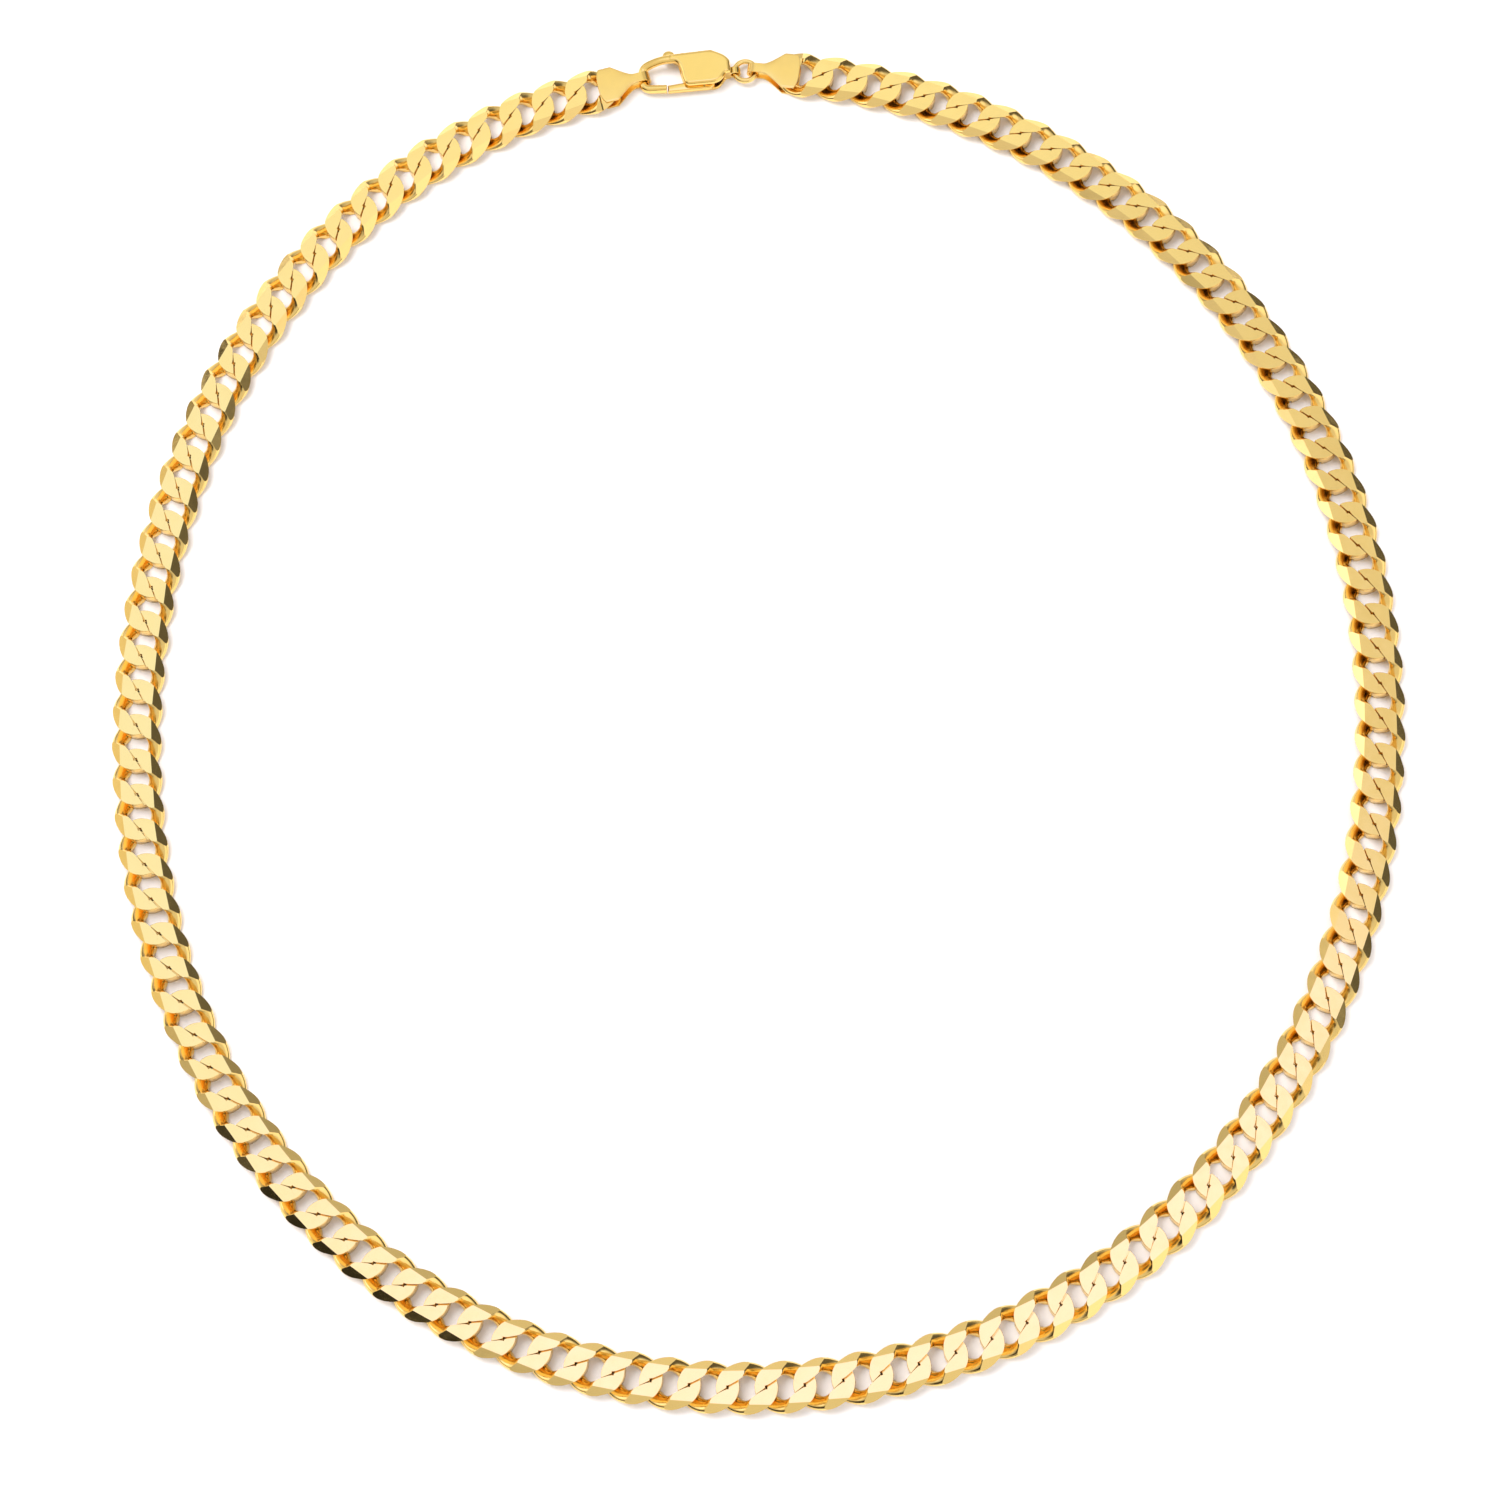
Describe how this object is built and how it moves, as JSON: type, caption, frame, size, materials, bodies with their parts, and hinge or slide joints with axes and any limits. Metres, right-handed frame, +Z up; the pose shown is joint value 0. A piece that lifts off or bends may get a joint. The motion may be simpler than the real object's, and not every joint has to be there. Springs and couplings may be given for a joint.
{
  "type": "chain necklace",
  "caption": "Flat bevelled curb chain necklace that folds and bends along its length, with folded end caps, a jump ring and a trigger clasp with a sprung gate.",
  "frame": {"origin": "middle of the loop, on the surface it lies on", "axes": "+X right, +Y towards the clasp, +Z up from the surface; the chain lies flat"},
  "size_m": [0.1576, 0.1748, 0.0024],
  "materials": {
    "chain_gold": "yellow gold, ground flats and bevels with a mirror polish",
    "clasp_gold": "yellow gold, stamped and tumbled to a soft polish",
    "spring_steel": "fine drawn spring wire"
  },
  "bodies": {
    "front": {"chain_front": "chain_gold"},
    "right_1": {"chain_right_1": "chain_gold", "end_cap_right": "clasp_gold"},
    "left_1": {"chain_left_1": "chain_gold", "end_cap_left": "clasp_gold"},
    "right_2": {"chain_right_2": "chain_gold"},
    "left_2": {"chain_left_2": "chain_gold"},
    "right_3": {"chain_right_3": "chain_gold"},
    "left_3": {"chain_left_3": "chain_gold"},
    "right_4": {"chain_right_4": "chain_gold"},
    "left_4": {"chain_left_4": "chain_gold"},
    "right_5": {"chain_right_5": "chain_gold"},
    "left_5": {"chain_left_5": "chain_gold"},
    "right_6": {"chain_right_6": "chain_gold"},
    "left_6": {"chain_left_6": "chain_gold"},
    "right_7": {"chain_right_7": "chain_gold"},
    "left_7": {"chain_left_7": "chain_gold"},
    "right_8": {"chain_right_8": "chain_gold"},
    "left_8": {"chain_left_8": "chain_gold"},
    "right_9": {"chain_right_9": "chain_gold"},
    "left_9": {"chain_left_9": "chain_gold"},
    "right_10": {"chain_right_10": "chain_gold"},
    "left_10": {"chain_left_10": "chain_gold"},
    "right_11": {"chain_right_11": "chain_gold"},
    "left_11": {"chain_left_11": "chain_gold"},
    "right_12": {"chain_right_12": "chain_gold"},
    "left_12": {"chain_left_12": "chain_gold"},
    "right_13": {"chain_right_13": "chain_gold"},
    "left_13": {"chain_left_13": "chain_gold"},
    "right_14": {"chain_right_14": "chain_gold"},
    "left_14": {"chain_left_14": "chain_gold"},
    "right_15": {"chain_right_15": "chain_gold"},
    "left_15": {"chain_left_15": "chain_gold"},
    "right_16": {"chain_right_16": "chain_gold"},
    "left_16": {"chain_left_16": "chain_gold"},
    "right_17": {"chain_right_17": "chain_gold"},
    "left_17": {"chain_left_17": "chain_gold"},
    "right_18": {"chain_right_18": "chain_gold"},
    "left_18": {"chain_left_18": "chain_gold"},
    "right_19": {"chain_right_19": "chain_gold"},
    "left_19": {"chain_left_19": "chain_gold"},
    "right_20": {"chain_right_20": "chain_gold"},
    "left_20": {"chain_left_20": "chain_gold"},
    "right_21": {"chain_right_21": "chain_gold"},
    "left_21": {"chain_left_21": "chain_gold"},
    "right_22": {"chain_right_22": "chain_gold"},
    "left_22": {"chain_left_22": "chain_gold"},
    "right_23": {"chain_right_23": "chain_gold"},
    "left_23": {"chain_left_23": "chain_gold"},
    "right_24": {"chain_right_24": "chain_gold"},
    "left_24": {"chain_left_24": "chain_gold"},
    "right_25": {"chain_right_25": "chain_gold"},
    "left_25": {"chain_left_25": "chain_gold"},
    "right_26": {"chain_right_26": "chain_gold"},
    "left_26": {"chain_left_26": "chain_gold"},
    "clasp": {"clasp_body": "clasp_gold", "clasp_pin": "clasp_gold"},
    "gate": {"clasp_gate": "clasp_gold", "clasp_spring": "spring_steel"},
    "ring": {"jump_ring": "clasp_gold"}
  },
  "joints": [
    {"name": "right_26_fold", "type": "hinge", "parent": "front", "child": "right_26", "pos_m": [0.01124, -0.08262, 0.001], "axis": [0.1314, -0.9913, 0], "range_deg": [-9, 9]},
    {"name": "right_25_fold", "type": "hinge", "parent": "right_26", "child": "right_25", "pos_m": [0.01993, -0.0806, 0.001], "axis": [0.2608, -0.9654, 0], "range_deg": [-13, 13]},
    {"name": "right_24_bend", "type": "hinge", "parent": "right_25", "child": "right_24", "pos_m": [0.0283, -0.07755, 0.001], "axis": [0, 0, 1], "range_deg": [-3.5, 3.5]},
    {"name": "right_23_fold", "type": "hinge", "parent": "right_24", "child": "right_23", "pos_m": [0.03624, -0.07349, 0.001], "axis": [-0.4596, 0.8882, 0], "range_deg": [-9, 9]},
    {"name": "right_22_bend", "type": "hinge", "parent": "right_23", "child": "right_22", "pos_m": [0.04363, -0.0685, 0.001], "axis": [0, 0, -1], "range_deg": [-5.49, 5.49]},
    {"name": "right_21_fold", "type": "hinge", "parent": "right_22", "child": "right_21", "pos_m": [0.05036, -0.06265, 0.001], "axis": [-0.6397, 0.7687, 0], "range_deg": [-9.01, 9.01]},
    {"name": "right_20_bend", "type": "hinge", "parent": "right_21", "child": "right_20", "pos_m": [0.05637, -0.05607, 0.001], "axis": [0, 0, 1], "range_deg": [-3.52, 3.52]},
    {"name": "right_19_fold", "type": "hinge", "parent": "right_20", "child": "right_19", "pos_m": [0.0616, -0.04884, 0.001], "axis": [0.7928, -0.6095, 0], "range_deg": [-12.54, 12.54]},
    {"name": "right_18_bend", "type": "hinge", "parent": "right_19", "child": "right_18", "pos_m": [0.06601, -0.04109, 0.001], "axis": [0, 0, -1], "range_deg": [-4.92, 4.92]},
    {"name": "right_17_fold", "type": "hinge", "parent": "right_18", "child": "right_17", "pos_m": [0.0696, -0.03293, 0.001], "axis": [0.9097, -0.4152, 0], "range_deg": [-12.91, 12.91]},
    {"name": "right_16_bend", "type": "hinge", "parent": "right_17", "child": "right_16", "pos_m": [0.07237, -0.02446, 0.001], "axis": [0, 0, 1], "range_deg": [-5.03, 5.03]},
    {"name": "right_15_fold", "type": "hinge", "parent": "right_16", "child": "right_15", "pos_m": [0.07432, -0.01575, 0.001], "axis": [-0.981, 0.1941, 0], "range_deg": [-9.02, 9.02]},
    {"name": "right_14_bend", "type": "hinge", "parent": "right_15", "child": "right_14", "pos_m": [0.07545, -0.00691, 0.001], "axis": [0, 0, 1], "range_deg": [-3.85, 3.85]},
    {"name": "right_13_fold", "type": "hinge", "parent": "right_14", "child": "right_13", "pos_m": [0.07576, 0.002, 0.001], "axis": [0.9992, 0.04, 0], "range_deg": [-10.71, 10.71]},
    {"name": "right_12_bend", "type": "hinge", "parent": "right_13", "child": "right_12", "pos_m": [0.07523, 0.01091, 0.001], "axis": [0, 0, 1], "range_deg": [-3.42, 3.42]},
    {"name": "right_11_fold", "type": "hinge", "parent": "right_12", "child": "right_11", "pos_m": [0.07385, 0.01972, 0.001], "axis": [0.9627, 0.2706, 0], "range_deg": [-9.1, 9.1]},
    {"name": "right_10_bend", "type": "hinge", "parent": "right_11", "child": "right_10", "pos_m": [0.07161, 0.02835, 0.001], "axis": [0, 0, -1], "range_deg": [-5.38, 5.38]},
    {"name": "right_9_fold", "type": "hinge", "parent": "right_10", "child": "right_9", "pos_m": [0.06849, 0.0367, 0.001], "axis": [0.8758, 0.4827, 0], "range_deg": [-11.71, 11.71]},
    {"name": "right_8_bend", "type": "hinge", "parent": "right_9", "child": "right_8", "pos_m": [0.06451, 0.04468, 0.001], "axis": [0, 0, 1], "range_deg": [-3.49, 3.49]},
    {"name": "right_7_fold", "type": "hinge", "parent": "right_8", "child": "right_7", "pos_m": [0.05969, 0.05218, 0.001], "axis": [0.7463, 0.6657, 0], "range_deg": [-9, 9]},
    {"name": "right_6_bend", "type": "hinge", "parent": "right_7", "child": "right_6", "pos_m": [0.05408, 0.05911, 0.001], "axis": [0, 0, -1], "range_deg": [-4.9, 4.9]},
    {"name": "right_5_fold", "type": "hinge", "parent": "right_6", "child": "right_5", "pos_m": [0.04773, 0.06536, 0.001], "axis": [-0.5829, -0.8125, 0], "range_deg": [-12.3, 12.3]},
    {"name": "right_4_bend", "type": "hinge", "parent": "right_5", "child": "right_4", "pos_m": [0.04071, 0.07087, 0.001], "axis": [0, 0, 1], "range_deg": [-5.02, 5.02]},
    {"name": "right_3_fold", "type": "hinge", "parent": "right_4", "child": "right_3", "pos_m": [0.03312, 0.07555, 0.001], "axis": [0.3948, 0.9188, 0], "range_deg": [-9.04, 9.04]},
    {"name": "right_2_bend", "type": "hinge", "parent": "right_3", "child": "right_2", "pos_m": [0.02505, 0.07933, 0.001], "axis": [0, 0, 1], "range_deg": [-3.8, 3.8]},
    {"name": "right_1_fold", "type": "hinge", "parent": "right_2", "child": "right_1", "pos_m": [0.01659, 0.08216, 0.001], "axis": [-0.1909, -0.9816, 0], "range_deg": [-13, 13]},
    {"name": "left_26_fold", "type": "hinge", "parent": "front", "child": "left_26", "pos_m": [-0.00654, -0.08342, 0.001], "axis": [-0.06, -0.9982, 0], "range_deg": [-9, 9]},
    {"name": "left_25_fold", "type": "hinge", "parent": "left_26", "child": "left_25", "pos_m": [-0.01537, -0.0822, 0.001], "axis": [-0.1909, -0.9816, 0], "range_deg": [-13.05, 13.05]},
    {"name": "left_24_bend", "type": "hinge", "parent": "left_25", "child": "left_24", "pos_m": [-0.024, -0.07993, 0.001], "axis": [0, 0, 1], "range_deg": [-3.82, 3.82]},
    {"name": "left_23_fold", "type": "hinge", "parent": "left_24", "child": "left_23", "pos_m": [-0.03228, -0.07663, 0.001], "axis": [0.3948, 0.9188, 0], "range_deg": [-9.09, 9.09]},
    {"name": "left_22_bend", "type": "hinge", "parent": "left_23", "child": "left_22", "pos_m": [-0.04009, -0.07233, 0.001], "axis": [0, 0, 1], "range_deg": [-5.08, 5.08]},
    {"name": "left_21_fold", "type": "hinge", "parent": "left_22", "child": "left_21", "pos_m": [-0.04732, -0.06711, 0.001], "axis": [-0.5829, -0.8125, 0], "range_deg": [-12.35, 12.35]},
    {"name": "left_20_bend", "type": "hinge", "parent": "left_21", "child": "left_20", "pos_m": [-0.05384, -0.06104, 0.001], "axis": [0, 0, -1], "range_deg": [-4.94, 4.94]},
    {"name": "left_19_fold", "type": "hinge", "parent": "left_20", "child": "left_19", "pos_m": [-0.05958, -0.05421, 0.001], "axis": [0.7463, 0.6657, 0], "range_deg": [-9.05, 9.05]},
    {"name": "left_18_bend", "type": "hinge", "parent": "left_19", "child": "left_18", "pos_m": [-0.06446, -0.04675, 0.001], "axis": [0, 0, 1], "range_deg": [-3.54, 3.54]},
    {"name": "left_17_fold", "type": "hinge", "parent": "left_18", "child": "left_17", "pos_m": [-0.06844, -0.03877, 0.001], "axis": [0.8758, 0.4827, 0], "range_deg": [-11.76, 11.76]},
    {"name": "left_16_bend", "type": "hinge", "parent": "left_17", "child": "left_16", "pos_m": [-0.07154, -0.03041, 0.001], "axis": [0, 0, -1], "range_deg": [-5.51, 5.51]},
    {"name": "left_15_fold", "type": "hinge", "parent": "left_16", "child": "left_15", "pos_m": [-0.07376, -0.02177, 0.001], "axis": [0.9627, 0.2706, 0], "range_deg": [-9.15, 9.15]},
    {"name": "left_14_bend", "type": "hinge", "parent": "left_15", "child": "left_14", "pos_m": [-0.07514, -0.01296, 0.001], "axis": [0, 0, 1], "range_deg": [-3.55, 3.55]},
    {"name": "left_13_fold", "type": "hinge", "parent": "left_14", "child": "left_13", "pos_m": [-0.07573, -0.00406, 0.001], "axis": [0.9992, 0.04, 0], "range_deg": [-10.76, 10.76]},
    {"name": "left_12_bend", "type": "hinge", "parent": "left_13", "child": "left_12", "pos_m": [-0.07557, 0.00485, 0.001], "axis": [0, 0, 1], "range_deg": [-3.82, 3.82]},
    {"name": "left_11_fold", "type": "hinge", "parent": "left_12", "child": "left_11", "pos_m": [-0.07468, 0.01373, 0.001], "axis": [-0.981, 0.1941, 0], "range_deg": [-9.07, 9.07]},
    {"name": "left_10_bend", "type": "hinge", "parent": "left_11", "child": "left_10", "pos_m": [-0.07306, 0.0225, 0.001], "axis": [0, 0, 1], "range_deg": [-5.02, 5.02]},
    {"name": "left_9_fold", "type": "hinge", "parent": "left_10", "child": "left_9", "pos_m": [-0.07071, 0.0311, 0.001], "axis": [0.9097, -0.4152, 0], "range_deg": [-12.96, 12.96]},
    {"name": "left_8_bend", "type": "hinge", "parent": "left_9", "child": "left_8", "pos_m": [-0.06759, 0.03945, 0.001], "axis": [0, 0, -1], "range_deg": [-4.87, 4.87]},
    {"name": "left_7_fold", "type": "hinge", "parent": "left_8", "child": "left_7", "pos_m": [-0.06367, 0.04746, 0.001], "axis": [0.7928, -0.6095, 0], "range_deg": [-12.59, 12.59]},
    {"name": "left_6_bend", "type": "hinge", "parent": "left_7", "child": "left_6", "pos_m": [-0.05892, 0.05501, 0.001], "axis": [0, 0, 1], "range_deg": [-3.47, 3.47]},
    {"name": "left_5_fold", "type": "hinge", "parent": "left_6", "child": "left_5", "pos_m": [-0.05335, 0.06197, 0.001], "axis": [-0.6397, 0.7687, 0], "range_deg": [-9.06, 9.06]},
    {"name": "left_4_bend", "type": "hinge", "parent": "left_5", "child": "left_4", "pos_m": [-0.04697, 0.0682, 0.001], "axis": [0, 0, -1], "range_deg": [-5.34, 5.34]},
    {"name": "left_3_fold", "type": "hinge", "parent": "left_4", "child": "left_3", "pos_m": [-0.03985, 0.07356, 0.001], "axis": [-0.4596, 0.8882, 0], "range_deg": [-9.05, 9.05]},
    {"name": "left_2_bend", "type": "hinge", "parent": "left_3", "child": "left_2", "pos_m": [-0.03208, 0.07794, 0.001], "axis": [0, 0, 1], "range_deg": [-3.42, 3.42]},
    {"name": "left_1_fold", "type": "hinge", "parent": "left_2", "child": "left_1", "pos_m": [-0.0238, 0.08124, 0.001], "axis": [0.2608, -0.9654, 0], "range_deg": [-13.05, 13.05]},
    {"name": "clasp_fold", "type": "hinge", "parent": "right_1", "child": "clasp", "pos_m": [0.00356, 0.08474, 0.001], "axis": [-0.06, -0.9982, 0], "range_deg": [-9.05, 9.05]},
    {"name": "gate_pivot", "type": "hinge", "parent": "clasp", "child": "gate", "pos_m": [-0.00231, 0.08368, 0.001], "axis": [0, 0, -1], "range_deg": [0, 18], "stiffness_Nm_per_rad": 0.0002, "springref_deg": -28.65},
    {"name": "ring_spin", "type": "hinge", "parent": "clasp", "child": "ring", "pos_m": [0.00233, 0.08471, 0.001], "axis": [0, 0, 1], "continuous": true}
  ],
  "couplings": [
    {"joint": "right_14_bend", "follows": "left_24_bend", "ratio": 0.99519},
    {"joint": "right_12_bend", "follows": "right_24_bend", "ratio": -0.96381},
    {"joint": "right_10_bend", "follows": "right_22_bend", "ratio": -0.96999},
    {"joint": "right_8_bend", "follows": "right_20_bend", "ratio": -0.97847},
    {"joint": "right_6_bend", "follows": "right_18_bend", "ratio": -0.98575},
    {"joint": "right_4_bend", "follows": "right_16_bend", "ratio": -0.98868},
    {"joint": "right_2_bend", "follows": "left_24_bend", "ratio": -0.98119},
    {"joint": "left_25_fold", "follows": "right_1_fold", "ratio": 1},
    {"joint": "left_23_fold", "follows": "right_3_fold", "ratio": 1},
    {"joint": "left_22_bend", "follows": "right_16_bend", "ratio": 0.99944},
    {"joint": "left_21_fold", "follows": "right_5_fold", "ratio": 1},
    {"joint": "left_20_bend", "follows": "right_18_bend", "ratio": 0.99436},
    {"joint": "left_19_fold", "follows": "right_7_fold", "ratio": 1},
    {"joint": "left_18_bend", "follows": "right_20_bend", "ratio": 0.99222},
    {"joint": "left_17_fold", "follows": "right_9_fold", "ratio": 1},
    {"joint": "left_16_bend", "follows": "right_22_bend", "ratio": 0.99421},
    {"joint": "left_15_fold", "follows": "right_11_fold", "ratio": 1},
    {"joint": "left_14_bend", "follows": "right_24_bend", "ratio": 0.99976},
    {"joint": "left_13_fold", "follows": "right_13_fold", "ratio": 1},
    {"joint": "left_12_bend", "follows": "left_24_bend", "ratio": -0.986},
    {"joint": "left_11_fold", "follows": "right_15_fold", "ratio": 1},
    {"joint": "left_10_bend", "follows": "right_16_bend", "ratio": -0.98812},
    {"joint": "left_9_fold", "follows": "right_17_fold", "ratio": 1},
    {"joint": "left_8_bend", "follows": "right_18_bend", "ratio": -0.98011},
    {"joint": "left_7_fold", "follows": "right_19_fold", "ratio": 1},
    {"joint": "left_6_bend", "follows": "right_20_bend", "ratio": -0.97069},
    {"joint": "left_5_fold", "follows": "right_21_fold", "ratio": 1},
    {"joint": "left_4_bend", "follows": "right_22_bend", "ratio": -0.9642},
    {"joint": "left_3_fold", "follows": "right_23_fold", "ratio": 1},
    {"joint": "left_2_bend", "follows": "right_24_bend", "ratio": -0.96357},
    {"joint": "left_1_fold", "follows": "right_25_fold", "ratio": 1},
    {"joint": "clasp_fold", "follows": "left_26_fold", "ratio": 1}
  ]
}
